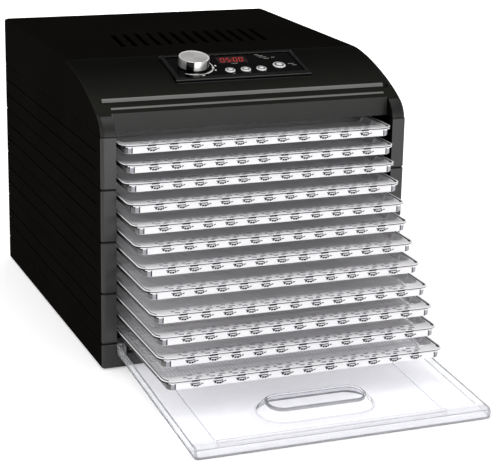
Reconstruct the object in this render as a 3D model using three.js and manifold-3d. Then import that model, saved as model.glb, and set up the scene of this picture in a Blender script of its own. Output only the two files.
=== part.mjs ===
// Front-loading food dehydrator: a base, four stacked wall sections and a top cover with a sloping
// control panel, twelve clear trays on rails, a clear drop-down door, and a rear fan and heater.
// Millimetres, +Z up, front towards -Y. The origin is the middle of the footprint, door included.
import * as THREE from 'three';
import { mergeVertices } from 'three/addons/utils/BufferGeometryUtils.js';
import Module from 'manifold-3d';

const wasm = await Module();
wasm.setup();

// ---------------------------------------------------------------- driving dimensions
const WIDTH = 342;
const DEPTH = 430;
const HEIGHT = 306;
const BASE_HEIGHT = 29;
const COVER_HEIGHT = 55.4;
const SECTION_COUNT = 4;
const TRAYS_PER_SECTION = 3;
const GAP = 0.3; // clearance between pieces that touch
const SKIN = 3; // moulded wall of covers
const WALL = 5; // side wall of a section
const STRIP_WIDTH = 16; // front strip each side of the opening
const STRIP_DEPTH = 9;
const BACK_CORNER = 14; // radius of the upright back edges
const FRONT_CORNER = 4;
const FOOT_LIFT = 1.5; // how far the feet hold the base off the table

const SECTION_HEIGHT = (HEIGHT - COVER_HEIGHT - BASE_HEIGHT) / SECTION_COUNT;
const TRAY_PITCH = SECTION_HEIGHT / TRAYS_PER_SECTION;
const TRAY_COUNT = SECTION_COUNT * TRAYS_PER_SECTION;
const HALF = WIDTH / 2;
const FRONT = -DEPTH / 2;
const BACK = DEPTH / 2;
const MOUTH = HALF - STRIP_WIDTH; // half width of the front opening
const COVER_BOTTOM = HEIGHT - COVER_HEIGHT;

// Drying chamber
const CROSS_FRAME_Y = 118; // front of the frame that carries the air diffuser
const CROSS_FRAME_THICK = 3.5;
const CROSS_BAR = 6;

// Top cover
const BEND_Y = -82; // where the flat top meets the sloping front
const FASCIA_Y = -199;
const FASCIA_TOP = 271;
const TOP_EDGE = 5; // rounding of the top side edges
const BACK_EDGE = 10;
const LID_FRONT = -175.5; // where the lid's surface turns down in its front step
const LID_HALF = 163; // half width of that step
const LID_LEDGE = -186; // how far its ledge runs on beside the fascia
const VENT_COUNT = 13;
const VENT_PITCH = 14.3;
const VENT_WIDTH = 6.4;
const VENT_LENGTH = 84;
const VENT_SKEW = THREE.MathUtils.degToRad(7);
const VENT_CENTRE = new THREE.Vector2(4, 21);

// Control panel: a frame that stands out of the curved front, most at its lower edge. s runs down the panel
const PANEL_ORIGIN = new THREE.Vector3(6, -95.2, 308.2); // middle of the frame's upper edge
const PANEL_TILT = THREE.MathUtils.degToRad(13.25);
const FRAME_OUTLINE = { half: 77.2, upper: 0.3, lower: 62.5 }; // of the frame's top face
const FRAME_RIM = 4.8;
const FACE_PLATE = -1; // top of the face plate, below the frame's top face
const KNOB = { x: -46.8, s: 29.3, radius: 17, top: 10, foot: -0.4 };
const SMALL_BUTTON = { radius: 5.5, s: 45.4, xs: [-10.2, 7.8, 25.8] };
const START_BUTTON = { radius: 7, s: 39, x: 49 };
const BUTTON_TRAVEL = 1;
const DISPLAY = { x: 1.2, s: 18.2, width: 34, length: 16 };

// Trays
const TRAY_HALF = 152; // over the rim
const TRAY_DEPTH = 312;
const TRAY_HEIGHT = 9.5;
const TRAY_RIM = 4; // width of the rim flange
const TRAY_WALL = 1.6;
const TRAY_FLOOR = 1.8;
const TRAY_CORNER = 12;
const FLOOR_SLOTS = 24;
const FLOOR_BAR = 3.4;
const TRAY_FRONT = -197.5; // front of the rim, pushed in
const TRAY_LIFT = 1.2; // lowest tray's floor above the base
// How far each tray is pulled out, top tray first
const TRAY_PULL = [27, 34, 39, 52, 66, 76, 91, 108, 128, 140, 151, 166];

// Door
const HINGE = { y: -207, z: 23 };
const DOOR_HALF = 154.4;
const DOOR_LENGTH = 254.5; // hinge axis to free edge
const DOOR_PANEL = 2.5;
const DOOR_OUTER = 6.5; // outer face to hinge axis
const DOOR_RIM = 11;
const DOOR_RIM_WALL = 2;
const DOOR_LIP = 15; // depth of the turned lip along the free edge
const DOOR_TOUCH = 0.1; // free edge above the table
const DOOR_REST = Math.asin((HINGE.z - DOOR_OUTER - DOOR_TOUCH) / DOOR_LENGTH);
const DOOR_TIP = HINGE.y - DOOR_LENGTH * Math.cos(DOOR_REST) + (DOOR_OUTER - 1) * Math.sin(DOOR_REST);
const PIN_RADIUS = 2.5;
const POCKET = { x: -4.5, reach: 184.5, width: 124, length: 54, height: 11, draft: 8 };

// Fan, motor and heater behind the diffuser
const FAN = { y: 147, z: 140, radius: 74, hub: 21, blades: 7 };
const MOTOR_RADIUS = 30;

const BODY_Y = -(DOOR_TIP + BACK) / 2; // middle of the housing, behind the origin

// ---------------------------------------------------------------- materials
function plastic(color, roughness) {
  return new THREE.MeshStandardMaterial({ color, roughness, metalness: 0 });
}
function metal(color, roughness) {
  return new THREE.MeshStandardMaterial({ color, roughness, metalness: 1 });
}
function clear(color, opacity) {
  return new THREE.MeshStandardMaterial({ color, roughness: 0.1, transparent: true, opacity });
}

// ---------------------------------------------------------------- solids
function solid(geometry) {
  const bare = geometry.clone();
  bare.deleteAttribute('normal');
  bare.deleteAttribute('uv');
  const merged = mergeVertices(bare, 1e-4);
  return new wasm.Manifold(new wasm.Mesh({
    numProp: 3,
    vertProperties: new Float32Array(merged.attributes.position.array),
    triVerts: new Uint32Array(merged.index.array),
  }));
}

function geometryOf(manifold) {
  const mesh = manifold.getMesh();
  const geometry = new THREE.BufferGeometry();
  geometry.setAttribute('position', new THREE.BufferAttribute(mesh.vertProperties, 3));
  geometry.setIndex(new THREE.BufferAttribute(mesh.triVerts, 1));
  geometry.computeVertexNormals();
  return geometry;
}

function box(x0, x1, y0, y1, z0, z1) {
  const geometry = new THREE.BoxGeometry(x1 - x0, y1 - y0, z1 - z0);
  return solid(geometry.translate((x0 + x1) / 2, (y0 + y1) / 2, (z0 + z1) / 2));
}

function polygon(points) {
  return new THREE.Shape(points.map(([a, b]) => new THREE.Vector2(a, b)));
}

// An outline in X and Y, raised from z0 to z1, with chamfers of size bevel at both ends
function raised(shape, z0, z1, bevel = 0, curveSegments = 5) {
  const geometry = new THREE.ExtrudeGeometry(shape, {
    depth: z1 - z0 - 2 * bevel,
    bevelEnabled: bevel > 0,
    bevelThickness: bevel,
    bevelSize: bevel,
    bevelOffset: -bevel,
    bevelSegments: 1,
    curveSegments,
  });
  return solid(geometry.translate(0, 0, z0 + bevel));
}

// An outline in Y and Z, swept along X; round is the rounding of its two end edges
const YZ_TO_X = new THREE.Matrix4().makeBasis(
  new THREE.Vector3(0, 1, 0), new THREE.Vector3(0, 0, 1), new THREE.Vector3(1, 0, 0));
function swept(shape, x0, x1, round = 0, curveSegments = 6) {
  const geometry = new THREE.ExtrudeGeometry(shape, {
    depth: x1 - x0 - 2 * round,
    bevelEnabled: round > 0,
    bevelThickness: round,
    bevelSize: round,
    bevelOffset: -round,
    bevelSegments: 3,
    curveSegments,
  });
  return solid(geometry.translate(0, 0, x0 + round).applyMatrix4(YZ_TO_X));
}

// A turned shape about +Z from [radius, height] points that start and end on the axis
function turned(points, segments) {
  return solid(new THREE.LatheGeometry(points.map(([r, z]) => new THREE.Vector2(r, z)), segments)
    .rotateX(Math.PI / 2));
}

function disc(radius, z0, z1, segments) {
  return turned([[0, z0], [radius, z0], [radius, z1], [0, z1]], segments);
}

// The same, about an axis along +Y or +X
function alongY(piece, x, y, z) {
  return piece.rotate([-90, 0, 0]).translate([x, y, z]);
}
function alongX(piece, x, y, z) {
  return piece.rotate([0, 90, 0]).translate([x, y, z]);
}

function both(piece) {
  return piece.add(piece.mirror([1, 0, 0]));
}

function roundedRect(x0, x1, y0, y1, lowRadius, highRadius = lowRadius) {
  const shape = new THREE.Shape();
  shape.moveTo(x0 + lowRadius, y0);
  shape.lineTo(x1 - lowRadius, y0);
  shape.absarc(x1 - lowRadius, y0 + lowRadius, lowRadius, -Math.PI / 2, 0);
  shape.lineTo(x1, y1 - highRadius);
  shape.absarc(x1 - highRadius, y1 - highRadius, highRadius, 0, Math.PI / 2);
  shape.lineTo(x0 + highRadius, y1);
  shape.absarc(x0 + highRadius, y1 - highRadius, highRadius, Math.PI / 2, Math.PI);
  shape.lineTo(x0, y0 + lowRadius);
  shape.absarc(x0 + lowRadius, y0 + lowRadius, lowRadius, Math.PI, 1.5 * Math.PI);
  return shape;
}

// An outline's points at height z, each place once
function pointsOf(shape, divisions, z) {
  const points = shape.getPoints(divisions);
  const apart = points.filter((p, i) => p.distanceTo(points[(i + 1) % points.length]) > 1e-6);
  return apart.map((p) => new THREE.Vector3(p.x, p.y, z));
}

// ---------------------------------------------------------------- scene graph
const machine = new THREE.Group();
machine.position.y = BODY_Y;
const controls = new THREE.Group(); // +Y up the slope, +Z out of it
controls.position.copy(PANEL_ORIGIN);
controls.rotation.x = PANEL_TILT;
const openDoor = new THREE.Group(); // -Y from the hinge to the free edge, +Z the inner face
openDoor.position.set(0, HINGE.y, HINGE.z);
openDoor.rotation.x = DOOR_REST;
machine.add(controls, openDoor);

function place(name, manifold, material, parent = machine) {
  const mesh = new THREE.Mesh(geometryOf(manifold), material);
  mesh.name = name;
  parent.add(mesh);
  return mesh;
}

// ---------------------------------------------------------------- base
const footprint = roundedRect(-HALF, HALF, FRONT, BACK, FRONT_CORNER, BACK_CORNER);
const FEET = [[-138, -175], [138, -175], [-138, 175], [138, 175]];
const FOOT_BOSS = 13;
const FOOT_HOLE = 3;
const SILL_TOP = 15; // the base's front lip, under the open door
const HINGE_BLOCK_BACK = -196;
const RIB_BOTTOM = 19;

function makeBase() {
  const top = BASE_HEIGHT - GAP;
  const ceiling = top - 3.5;
  let base = raised(footprint, FOOT_LIFT, top, 1.2);
  base = base.subtract(raised(
    roundedRect(-HALF + WALL, HALF - WALL, HINGE_BLOCK_BACK, BACK - WALL, 2, BACK_CORNER - WALL),
    FOOT_LIFT - 1, ceiling));
  // the hinge recess between the strips
  base = base.subtract(box(-MOUTH, MOUTH, FRONT - 1, FASCIA_Y, SILL_TOP, top + 1));
  for (const x of [-100, -33, 33, 100]) {
    base = base.add(box(x - 1.2, x + 1.2, HINGE_BLOCK_BACK - 1, BACK - WALL + 1, RIB_BOTTOM, ceiling + 0.5));
  }
  for (const y of [-70, 70]) {
    base = base.add(box(-HALF + 2, HALF - 2, y - 1.2, y + 1.2, RIB_BOTTOM, ceiling + 0.5));
  }
  for (const [x, y] of FEET) {
    base = base.add(disc(FOOT_BOSS, 5, ceiling + 0.5, 12).translate([x, y, 0]));
    base = base.subtract(disc(FOOT_HOLE, 4, 14, 8).translate([x, y, 0]));
  }
  const hole = disc(PIN_RADIUS + 0.25, MOUTH - 1, MOUTH + 11.5, 12);
  base = base.subtract(both(alongX(hole, 0, HINGE.y, HINGE.z)));
  return base;
}
place('base', makeBase(), plastic(0x262423, 0.45));

FEET.forEach(([x, y], i) => {
  const foot = turned([[0, 0], [8.5, 0], [10, 1.2], [10, 4.7], [2.6, 4.7], [2.6, 11], [0, 11]], 14);
  place(`foot_${i + 1}`, foot.translate([x, y, 0]), plastic(0x141414, 0.9));
});

// ---------------------------------------------------------------- wall sections
const GROOVE = { depth: 1.5, height: 1.6, front: FRONT + 17, back: BACK - 16 };
const RAIL = { reach: TRAY_HALF - TRAY_RIM + 0.9, front: FRONT + 16, back: CROSS_FRAME_Y - 6, thick: 2.2 };
const COVER_SEAT = { half: 135, overlap: 14, y: BACK - 3.3 };
const REAR_SCREWS = [[-126, 45], [126, 45], [-126, 235], [126, 235]];

function traySeat(level) {
  return BASE_HEIGHT + TRAY_LIFT + level * TRAY_PITCH; // underside of the tray on this level
}

function makeSection(index) {
  const low = BASE_HEIGHT + index * SECTION_HEIGHT;
  const high = low + SECTION_HEIGHT - GAP;
  const inner = HALF - WALL;
  let section = raised(footprint, low, high, 1.2);
  const chamber = raised(roundedRect(-inner, inner, FRONT + STRIP_DEPTH, BACK - WALL, 1, BACK_CORNER - WALL),
    low - 1, high + 1);
  section = section.subtract(chamber);
  section = section.subtract(box(-MOUTH, MOUTH, FRONT - 1, FRONT + STRIP_DEPTH + 1, low - 1, high + 1));
  section = section.subtract(box(-COVER_SEAT.half, COVER_SEAT.half, BACK - WALL - 1, BACK + 1,
    low - 1, high + 1));
  // ledge behind the rear cover, and the frame across the chamber that carries the diffuser
  section = section.add(both(box(COVER_SEAT.half - COVER_SEAT.overlap, COVER_SEAT.half + 6,
    COVER_SEAT.y - 4, COVER_SEAT.y, low, high)));
  for (const [x, z] of REAR_SCREWS) {
    section = section.subtract(alongY(disc(2.3, -8, 5, 8), x, COVER_SEAT.y, z));
  }
  for (const z of [low, high - CROSS_BAR]) {
    section = section.add(box(-inner - 1, inner + 1, CROSS_FRAME_Y, CROSS_FRAME_Y + CROSS_FRAME_THICK,
      z, z + CROSS_BAR));
  }
  section = section.add(both(box(inner - 10, inner + 1, CROSS_FRAME_Y, CROSS_FRAME_Y + CROSS_FRAME_THICK,
    low, high)));
  for (let level = 0; level < TRAYS_PER_SECTION; level += 1) {
    const rimUnder = traySeat(index * TRAYS_PER_SECTION + level) + TRAY_HEIGHT - TRAY_FLOOR;
    const railTop = rimUnder - GAP;
    const rail = polygon([
      [RAIL.front, railTop - 1.2], [RAIL.front + 5, railTop], [RAIL.back, railTop],
      [RAIL.back, railTop - RAIL.thick], [RAIL.front, railTop - RAIL.thick],
    ]);
    section = section.add(both(swept(rail, RAIL.reach, inner + 1)));
    if (level > 0) {
      const z = low + level * TRAY_PITCH;
      section = section.subtract(both(swept(polygon([
        [GROOVE.front, z], [GROOVE.front + 3, z - GROOVE.height / 2],
        [GROOVE.back - 3, z - GROOVE.height / 2], [GROOVE.back, z],
        [GROOVE.back - 3, z + GROOVE.height / 2], [GROOVE.front + 3, z + GROOVE.height / 2],
      ]), HALF - GROOVE.depth, HALF + 1)));
    }
  }
  return section;
}
for (let i = 0; i < SECTION_COUNT; i += 1) {
  place(`section_${i + 1}`, makeSection(i), plastic(0x2a2726, 0.42));
}

// ---------------------------------------------------------------- top cover
// The cover's outline from the side, from back to front: a flat top and a front that curves down to upright.
// It runs on below the cover, so that the lower edges stay square
function coverShape() {
  const past = TOP_EDGE + 12;
  const shape = new THREE.Shape();
  shape.moveTo(BACK, COVER_BOTTOM - past);
  shape.lineTo(BACK, HEIGHT - BACK_EDGE);
  shape.absarc(BACK - BACK_EDGE, HEIGHT - BACK_EDGE, BACK_EDGE, 0, Math.PI / 2);
  shape.lineTo(BEND_Y, HEIGHT);
  shape.quadraticCurveTo(-112, 304.1, -150, 291.9);
  shape.quadraticCurveTo(-177, 283.2, -198, 271.2);
  shape.quadraticCurveTo(-213, 263.5, -215.5, 246);
  shape.lineTo(-218, COVER_BOTTOM - past);
  return shape;
}

// What is cleared in front of the lid's step, down to its ledge
function ledgeClearance() {
  const shape = new THREE.Shape();
  shape.moveTo(LID_FRONT, HEIGHT + 20);
  shape.lineTo(LID_FRONT, 282.4);
  shape.quadraticCurveTo(-178.4, 281, -179, 278);
  shape.lineTo(LID_LEDGE, 277.15);
  shape.lineTo(LID_LEDGE, HEIGHT + 20);
  return shape;
}

// What is cleared between the cheeks, in front of the ledge, a second step and the fascia
function fasciaClearance() {
  const shape = new THREE.Shape();
  shape.moveTo(LID_LEDGE + 1, HEIGHT + 20);
  shape.lineTo(LID_LEDGE + 1, 277.25);
  shape.lineTo(-190.4, 276.6);
  shape.quadraticCurveTo(-192.7, 276.2, -193, 273.8);
  shape.lineTo(FASCIA_Y + 0.8, FASCIA_TOP + 0.8);
  shape.lineTo(FASCIA_Y, FASCIA_TOP - 0.4);
  shape.lineTo(FASCIA_Y, COVER_BOTTOM - 5);
  shape.lineTo(FRONT - 10, COVER_BOTTOM - 5);
  shape.lineTo(FRONT - 10, HEIGHT + 20);
  return shape;
}

function makeCover() {
  const low = COVER_BOTTOM;
  let cover = swept(coverShape(), -HALF, HALF, TOP_EDGE, 7);
  cover = cover.intersect(raised(footprint, low - 1.2, HEIGHT + 20, 1.2));
  cover = cover.subtract(box(-HALF - 1, HALF + 1, FRONT - 1, BACK + 1, low - 5, low));
  const ledgeOutline = roundedRect(-LID_HALF, LID_HALF, LID_LEDGE, LID_LEDGE + 30, 4.5);
  const ledgePlan = raised(ledgeOutline, low, HEIGHT + 20, 0, 4);
  cover = cover.subtract(swept(ledgeClearance(), -LID_HALF, LID_HALF, 0, 4).intersect(ledgePlan));
  cover = cover.subtract(swept(fasciaClearance(), -MOUTH, MOUTH, 0, 4));
  const inside = polygon([
    [BACK - WALL, low - 1], [BACK - WALL, HEIGHT - 12], [BACK - WALL - 9, HEIGHT - SKIN],
    [BEND_Y, HEIGHT - SKIN], [-114, 298.3], [-150, 288.4], [-171, 279.6], [-180, 273.8], [-190, 272],
    [FASCIA_Y + 4, FASCIA_TOP - SKIN - 1], [FASCIA_Y + 4, low - 1],
  ]);
  const inner = HALF - WALL;
  const hollow = swept(inside, -inner, inner).intersect(raised(
    roundedRect(-inner, inner, FRONT, BACK - WALL, 1, BACK_CORNER - WALL), low - 1, HEIGHT + 1));
  const shoulder = swept(polygon([
    [BACK + 1, HEIGHT - 14], [BACK + 1, HEIGHT + 1], [FRONT, HEIGHT + 1], [FRONT, HEIGHT - 14],
  ]), inner - 8, inner + 1);
  cover = cover.subtract(hollow.subtract(both(shoulder)));
  for (let i = 0; i < VENT_COUNT; i += 1) {
    const x = (i - (VENT_COUNT - 1) / 2) * VENT_PITCH;
    const slot = raised(roundedRect(-VENT_WIDTH / 2, VENT_WIDTH / 2, -VENT_LENGTH / 2, VENT_LENGTH / 2, 2),
      HEIGHT - 8, HEIGHT + 2, 0, 1);
    cover = cover.subtract(slot.rotate([0, 0, -THREE.MathUtils.radToDeg(VENT_SKEW)])
      .translate([VENT_CENTRE.x + x, VENT_CENTRE.y, 0]));
  }
  return cover;
}

// Places a solid made in the panel's own frame into the housing's frame
function ontoHousing(piece) {
  const { x, y, z } = PANEL_ORIGIN;
  return piece.rotate([THREE.MathUtils.radToDeg(PANEL_TILT), 0, 0]).translate([x, y, z]);
}

// The other way round
function ontoPanel(piece) {
  const { x, y, z } = PANEL_ORIGIN;
  return piece.translate([-x, -y, -z]).rotate([-THREE.MathUtils.radToDeg(PANEL_TILT), 0, 0]);
}

function frameRect(inset, corner) {
  const { half, upper, lower } = FRAME_OUTLINE;
  return roundedRect(-half + inset, half - inset, -lower + inset, -upper - inset, corner);
}
const PLUG_INSET = 3.2;
const POCKET_FLOOR = -14;
place('top_cover', makeCover().subtract(ontoHousing(raised(frameRect(PLUG_INSET, 3), POCKET_FLOOR, 3, 0, 2))),
  plastic(0x242322, 0.4));

// ---------------------------------------------------------------- chamber ceiling
function makeCeiling() {
  const inner = HALF - WALL - GAP;
  const low = COVER_BOTTOM + GAP;
  const outline = roundedRect(-inner, inner, FASCIA_Y + 4 + GAP, BACK - WALL - GAP, 1, 8);
  let plate = raised(outline, low, low + 2.5, 0, 2);
  for (const x of [-60, 0, 60]) {
    plate = plate.subtract(raised(roundedRect(x - 20, x + 20, 0, 8, 3), low - 1, low + 4, 0, 2));
    plate = plate.subtract(raised(roundedRect(x - 20, x + 20, 20, 28, 3), low - 1, low + 4, 0, 2));
  }
  return plate;
}
place('chamber_ceiling', makeCeiling(), plastic(0x2b2a29, 0.6));

// ---------------------------------------------------------------- control panel
function frameRing(inset, corner, z) {
  return pointsOf(frameRect(inset, corner), 3, z);
}

function makeBezel() {
  // a drafted block with a soft top edge, cut off along the cover
  const flare = loft([
    frameRing(-2.2, 5, -9), frameRing(-0.3, 4, -1.4), frameRing(0.2, 3.5, -0.5), frameRing(1.3, 3, 0),
  ]);
  const cover = ontoPanel(swept(coverShape(), -HALF, HALF, 0, 7).translate([0, 0, GAP]));
  const plug = raised(frameRect(PLUG_INSET + GAP, 3), -11, -0.7, 0, 3);
  const window = raised(frameRect(FRAME_RIM, 2), -12, 6, 0, 2);
  return flare.subtract(cover).add(plug).subtract(window);
}
place('control_bezel', makeBezel(), plastic(0x111111, 0.2), controls);

const buttonSpots = SMALL_BUTTON.xs.map((x) => [x, SMALL_BUTTON.s, SMALL_BUTTON.radius]);
buttonSpots.push([START_BUTTON.x, START_BUTTON.s, START_BUTTON.radius]);

function makeFacePlate() {
  const low = FACE_PLATE - 2;
  let plate = raised(frameRect(FRAME_RIM + GAP, 2), low, FACE_PLATE, 0, 2);
  for (const [x, s, radius] of buttonSpots) {
    plate = plate.subtract(disc(radius + 0.4, low - 1, 1, 14).translate([x, -s, 0]));
  }
  plate = plate.subtract(disc(4, low - 1, 1, 10).translate([KNOB.x, -KNOB.s, 0]));
  const w = DISPLAY.width / 2 + GAP;
  const l = DISPLAY.length / 2 + GAP;
  return plate.subtract(box(DISPLAY.x - w, DISPLAY.x + w, -DISPLAY.s - l, -DISPLAY.s + l, low - 1, 1));
}
place('control_panel', makeFacePlate(), plastic(0x0c0b0c, 0.15), controls);

function makeDisplayWindow() {
  const w = DISPLAY.width / 2;
  const l = DISPLAY.length / 2;
  return box(DISPLAY.x - w, DISPLAY.x + w, -DISPLAY.s - l, -DISPLAY.s + l, FACE_PLATE - 1.7, FACE_PLATE);
}
place('display_window', makeDisplayWindow(), plastic(0x1a0506, 0.08), controls);

function makeKnob() {
  const { radius, top, foot } = KNOB;
  const body = turned([
    [0, foot], [radius - 0.6, foot], [radius, foot + 0.8], [radius - 0.3, top - 1],
    [radius - 1.3, top], [2, top - 0.6], [0, top - 0.6],
  ], 30);
  const flat = box(-3.2, 3.2, 1.9, 4, foot - 1, foot + 8);
  return body.subtract(disc(3.3, foot - 1, foot + 7.7, 10).subtract(flat)).translate([KNOB.x, -KNOB.s, 0]);
}
place('knob', makeKnob(), metal(0xd6d6d6, 0.2), controls);

const STEM = { radius: 2.2, foot: -9.4 };
buttonSpots.forEach(([x, s, radius], i) => {
  const skirt = FACE_PLATE - 2.6;
  const cap = turned([
    [0, STEM.foot], [STEM.radius, STEM.foot], [STEM.radius, skirt], [radius, skirt], [radius, -0.2],
    [radius - 0.8, 0.8], [radius * 0.5, 1.4], [0, 1.6],
  ], 14);
  const name = i < SMALL_BUTTON.xs.length ? `button_${i + 1}` : 'start_button';
  place(name, cap.translate([x, -s, 0]), metal(0xcfcfcf, 0.25), controls);
});

// Circuit board behind the panel, with the display module, encoder and button switches on it
const BOARD = { top: -13.2, thick: 1.6, half: 66, low: -56, high: -8 };
const SWITCH_TOP = STEM.foot - BUTTON_TRAVEL - 0.2;
function makeBoard() {
  let board = box(-BOARD.half, BOARD.half, BOARD.low, BOARD.high, BOARD.top - BOARD.thick, BOARD.top);
  for (const [x, s] of buttonSpots) {
    board = board.add(box(x - 3, x + 3, -s - 3, -s + 3, BOARD.top - 0.2, SWITCH_TOP));
  }
  return board;
}
place('circuit_board', makeBoard(), plastic(0x1f4d2c, 0.5), controls);
place('display_module', box(DISPLAY.x - 16, DISPLAY.x + 16, -DISPLAY.s - 7, -DISPLAY.s + 7,
  BOARD.top + GAP, FACE_PLATE - 2), plastic(0x101010, 0.4), controls);

const SHAFT = { radius: 3, foot: -9.2, top: 6.5, running: 0.06 };
function atKnob(piece) {
  return piece.translate([KNOB.x, -KNOB.s, 0]);
}
function makeEncoder() {
  const can = box(-6, 6, -6, 6, BOARD.top + GAP, -6.5).add(disc(4.3, -7, -3.5, 12));
  return atKnob(can.subtract(disc(SHAFT.radius + SHAFT.running, SHAFT.foot - GAP, 1, 16)));
}
place('encoder', makeEncoder(), metal(0x9a9a9a, 0.35), controls);
function makeEncoderShaft() {
  const flat = box(-3.5, 3.5, 1.6, 4, KNOB.foot - 0.6, SHAFT.top + 1);
  return atKnob(disc(SHAFT.radius, SHAFT.foot, SHAFT.top, 16).subtract(flat));
}
place('encoder_shaft', makeEncoderShaft(), metal(0xa8a8a8, 0.25), controls);

// ---------------------------------------------------------------- trays
function insetRect(inset, depth = TRAY_DEPTH) {
  const radius = Math.max(TRAY_CORNER - inset, 2);
  return roundedRect(-TRAY_HALF + inset, TRAY_HALF - inset, inset, depth - inset, radius);
}

function makeTray() {
  const wall = TRAY_RIM;
  let tray = raised(insetRect(0), TRAY_HEIGHT - TRAY_FLOOR, TRAY_HEIGHT, 0, 2);
  tray = tray.add(raised(insetRect(wall), 0, TRAY_HEIGHT - 0.5, 0, 2));
  tray = tray.subtract(raised(insetRect(wall + TRAY_WALL), TRAY_FLOOR, TRAY_HEIGHT + 1, 0, 2));
  // the open floor, as long slots between bars that run front to back
  const margin = wall + TRAY_WALL + 4;
  const pitch = (2 * (TRAY_HALF - margin) + FLOOR_BAR) / FLOOR_SLOTS;
  for (let i = 0; i < FLOOR_SLOTS; i += 1) {
    const x = -TRAY_HALF + margin + i * pitch;
    tray = tray.subtract(box(x, x + pitch - FLOOR_BAR, margin, TRAY_DEPTH - margin, -1, TRAY_FLOOR + 1));
  }
  return tray;
}
const trayShape = makeTray();
for (let i = 0; i < TRAY_COUNT; i += 1) {
  const level = TRAY_COUNT - 1 - i;
  const moved = trayShape.translate([0, TRAY_FRONT - TRAY_PULL[i], traySeat(level)]);
  place(`tray_${i + 1}`, moved, clear(0xf4f4f6, 0.55));
}

// ---------------------------------------------------------------- door
function makeDoor() {
  const low = -DOOR_OUTER;
  const inner = low + DOOR_PANEL;
  const high = low + DOOR_RIM;
  const end = -DOOR_LENGTH;
  const heel = DOOR_OUTER - 0.5;
  // side view: a rounded heel about the hinge axis, the panel, and the turned lip at the free edge
  const side = new THREE.Shape();
  side.moveTo(0, low);
  side.absarc(0, 0, DOOR_OUTER, -Math.PI / 2, Math.PI * 0.24);
  side.lineTo(-2, high);
  side.lineTo(end + 4, high);
  side.quadraticCurveTo(end + 0.6, high, end + 0.4, high - 4);
  side.lineTo(end, low + 1);
  side.lineTo(end + 1, low);
  const outline = raised(roundedRect(-DOOR_HALF, DOOR_HALF, end, heel + 2, 7, 1), low - 1, high + 1, 0, 3);
  let door = swept(side, -DOOR_HALF, DOOR_HALF, 0, 4).intersect(outline);
  // hollow between the side rims, the lip and the heel
  door = door.subtract(box(-DOOR_HALF + DOOR_RIM_WALL, DOOR_HALF - DOOR_RIM_WALL,
    end + DOOR_LIP, -9, inner, high + 1));
  // the heel is cut back between the two hinge ears
  door = door.subtract(box(-DOOR_HALF + 8, DOOR_HALF - 8, -10, heel + 3, inner, high + 1));
  door = door.subtract(box(-DOOR_HALF + 8, DOOR_HALF - 8, -1, heel + 3, low - 1, inner + 1));
  // the lip is a channel, open underneath
  door = door.subtract(box(-DOOR_HALF + 6, DOOR_HALF - 6, end + 3, end + DOOR_LIP - 2, low - 1, high - 2.2));
  // drafted grip pocket, raised on the inner face and open on the outer
  door = door.add(pocketForm(0, inner - 0.5));
  door = door.subtract(pocketForm(-DOOR_PANEL, low - 0.01));
  const hole = disc(PIN_RADIUS + 0.2, DOOR_HALF - 9, DOOR_HALF + 1, 12);
  return door.subtract(both(alongX(hole, 0, 0, 0)));
}

// A drafted stadium, grown by grow all round, from z up to the pocket's height
function pocketForm(grow, z) {
  const rise = POCKET.height + grow;
  const halfW = POCKET.width / 2 + grow;
  const halfL = POCKET.length / 2 + grow;
  const top = -DOOR_OUTER + DOOR_PANEL + rise;
  const steps = [[0, z], [0, -DOOR_OUTER + DOOR_PANEL], [POCKET.draft, top - 1.5], [POCKET.draft + 2.5, top]];
  const rings = steps.map(([inset, h]) => {
    const w = halfW - inset;
    const l = halfL - inset;
    return pointsOf(roundedRect(-w, w, -l, l, l - 2), 4, h);
  });
  return loft(rings).translate([POCKET.x, -POCKET.reach, 0]);
}

// A closed solid through rings that have the same number of points, each ring anticlockwise from above
function loft(rings) {
  const count = rings[0].length;
  const positions = [];
  const index = [];
  rings.forEach((ring) => ring.forEach((p) => positions.push(p.x, p.y, p.z)));
  for (let r = 0; r + 1 < rings.length; r += 1) {
    for (let i = 0; i < count; i += 1) {
      const a = r * count + i;
      const b = r * count + (i + 1) % count;
      index.push(a, b, b + count, a, b + count, a + count);
    }
  }
  const last = (rings.length - 1) * count;
  for (let i = 1; i + 1 < count; i += 1) {
    index.push(0, i + 1, i, last, last + i, last + i + 1);
  }
  const geometry = new THREE.BufferGeometry();
  geometry.setAttribute('position', new THREE.Float32BufferAttribute(positions, 3));
  geometry.setIndex(index);
  return solid(geometry);
}
place('door', makeDoor(), clear(0xeeedf4, 0.3), openDoor);

for (const [name, side] of [['hinge_pin_left', -1], ['hinge_pin_right', 1]]) {
  const pin = alongX(disc(PIN_RADIUS, DOOR_HALF - 7, MOUTH + 11, 12), 0, HINGE.y, HINGE.z);
  place(name, side > 0 ? pin : pin.mirror([1, 0, 0]), metal(0x8f8f8f, 0.3));
}

// ---------------------------------------------------------------- air diffuser and fan shroud
const CHAMBER = { half: HALF - WALL - 2, low: BASE_HEIGHT + 1, high: COVER_BOTTOM - 1 };

function makeDiffuser() {
  const y1 = CROSS_FRAME_Y - GAP;
  const y0 = y1 - 2.4;
  let plate = box(-CHAMBER.half + 1, CHAMBER.half - 1, y0, y1, CHAMBER.low, CHAMBER.high);
  const columns = 4;
  const slotWidth = 56;
  const slotHeight = 6;
  for (let level = 0; level < TRAY_COUNT; level += 1) {
    const z = traySeat(level) + TRAY_HEIGHT + 1.5;
    for (let i = 0; i < columns; i += 1) {
      const x = (i - (columns - 1) / 2) * (slotWidth + 13);
      plate = plate.subtract(box(x - slotWidth / 2, x + slotWidth / 2, y0 - 1, y1 + 1, z, z + slotHeight));
    }
  }
  return plate;
}
place('air_diffuser', makeDiffuser(), plastic(0x1d1c1c, 0.55));

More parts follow.
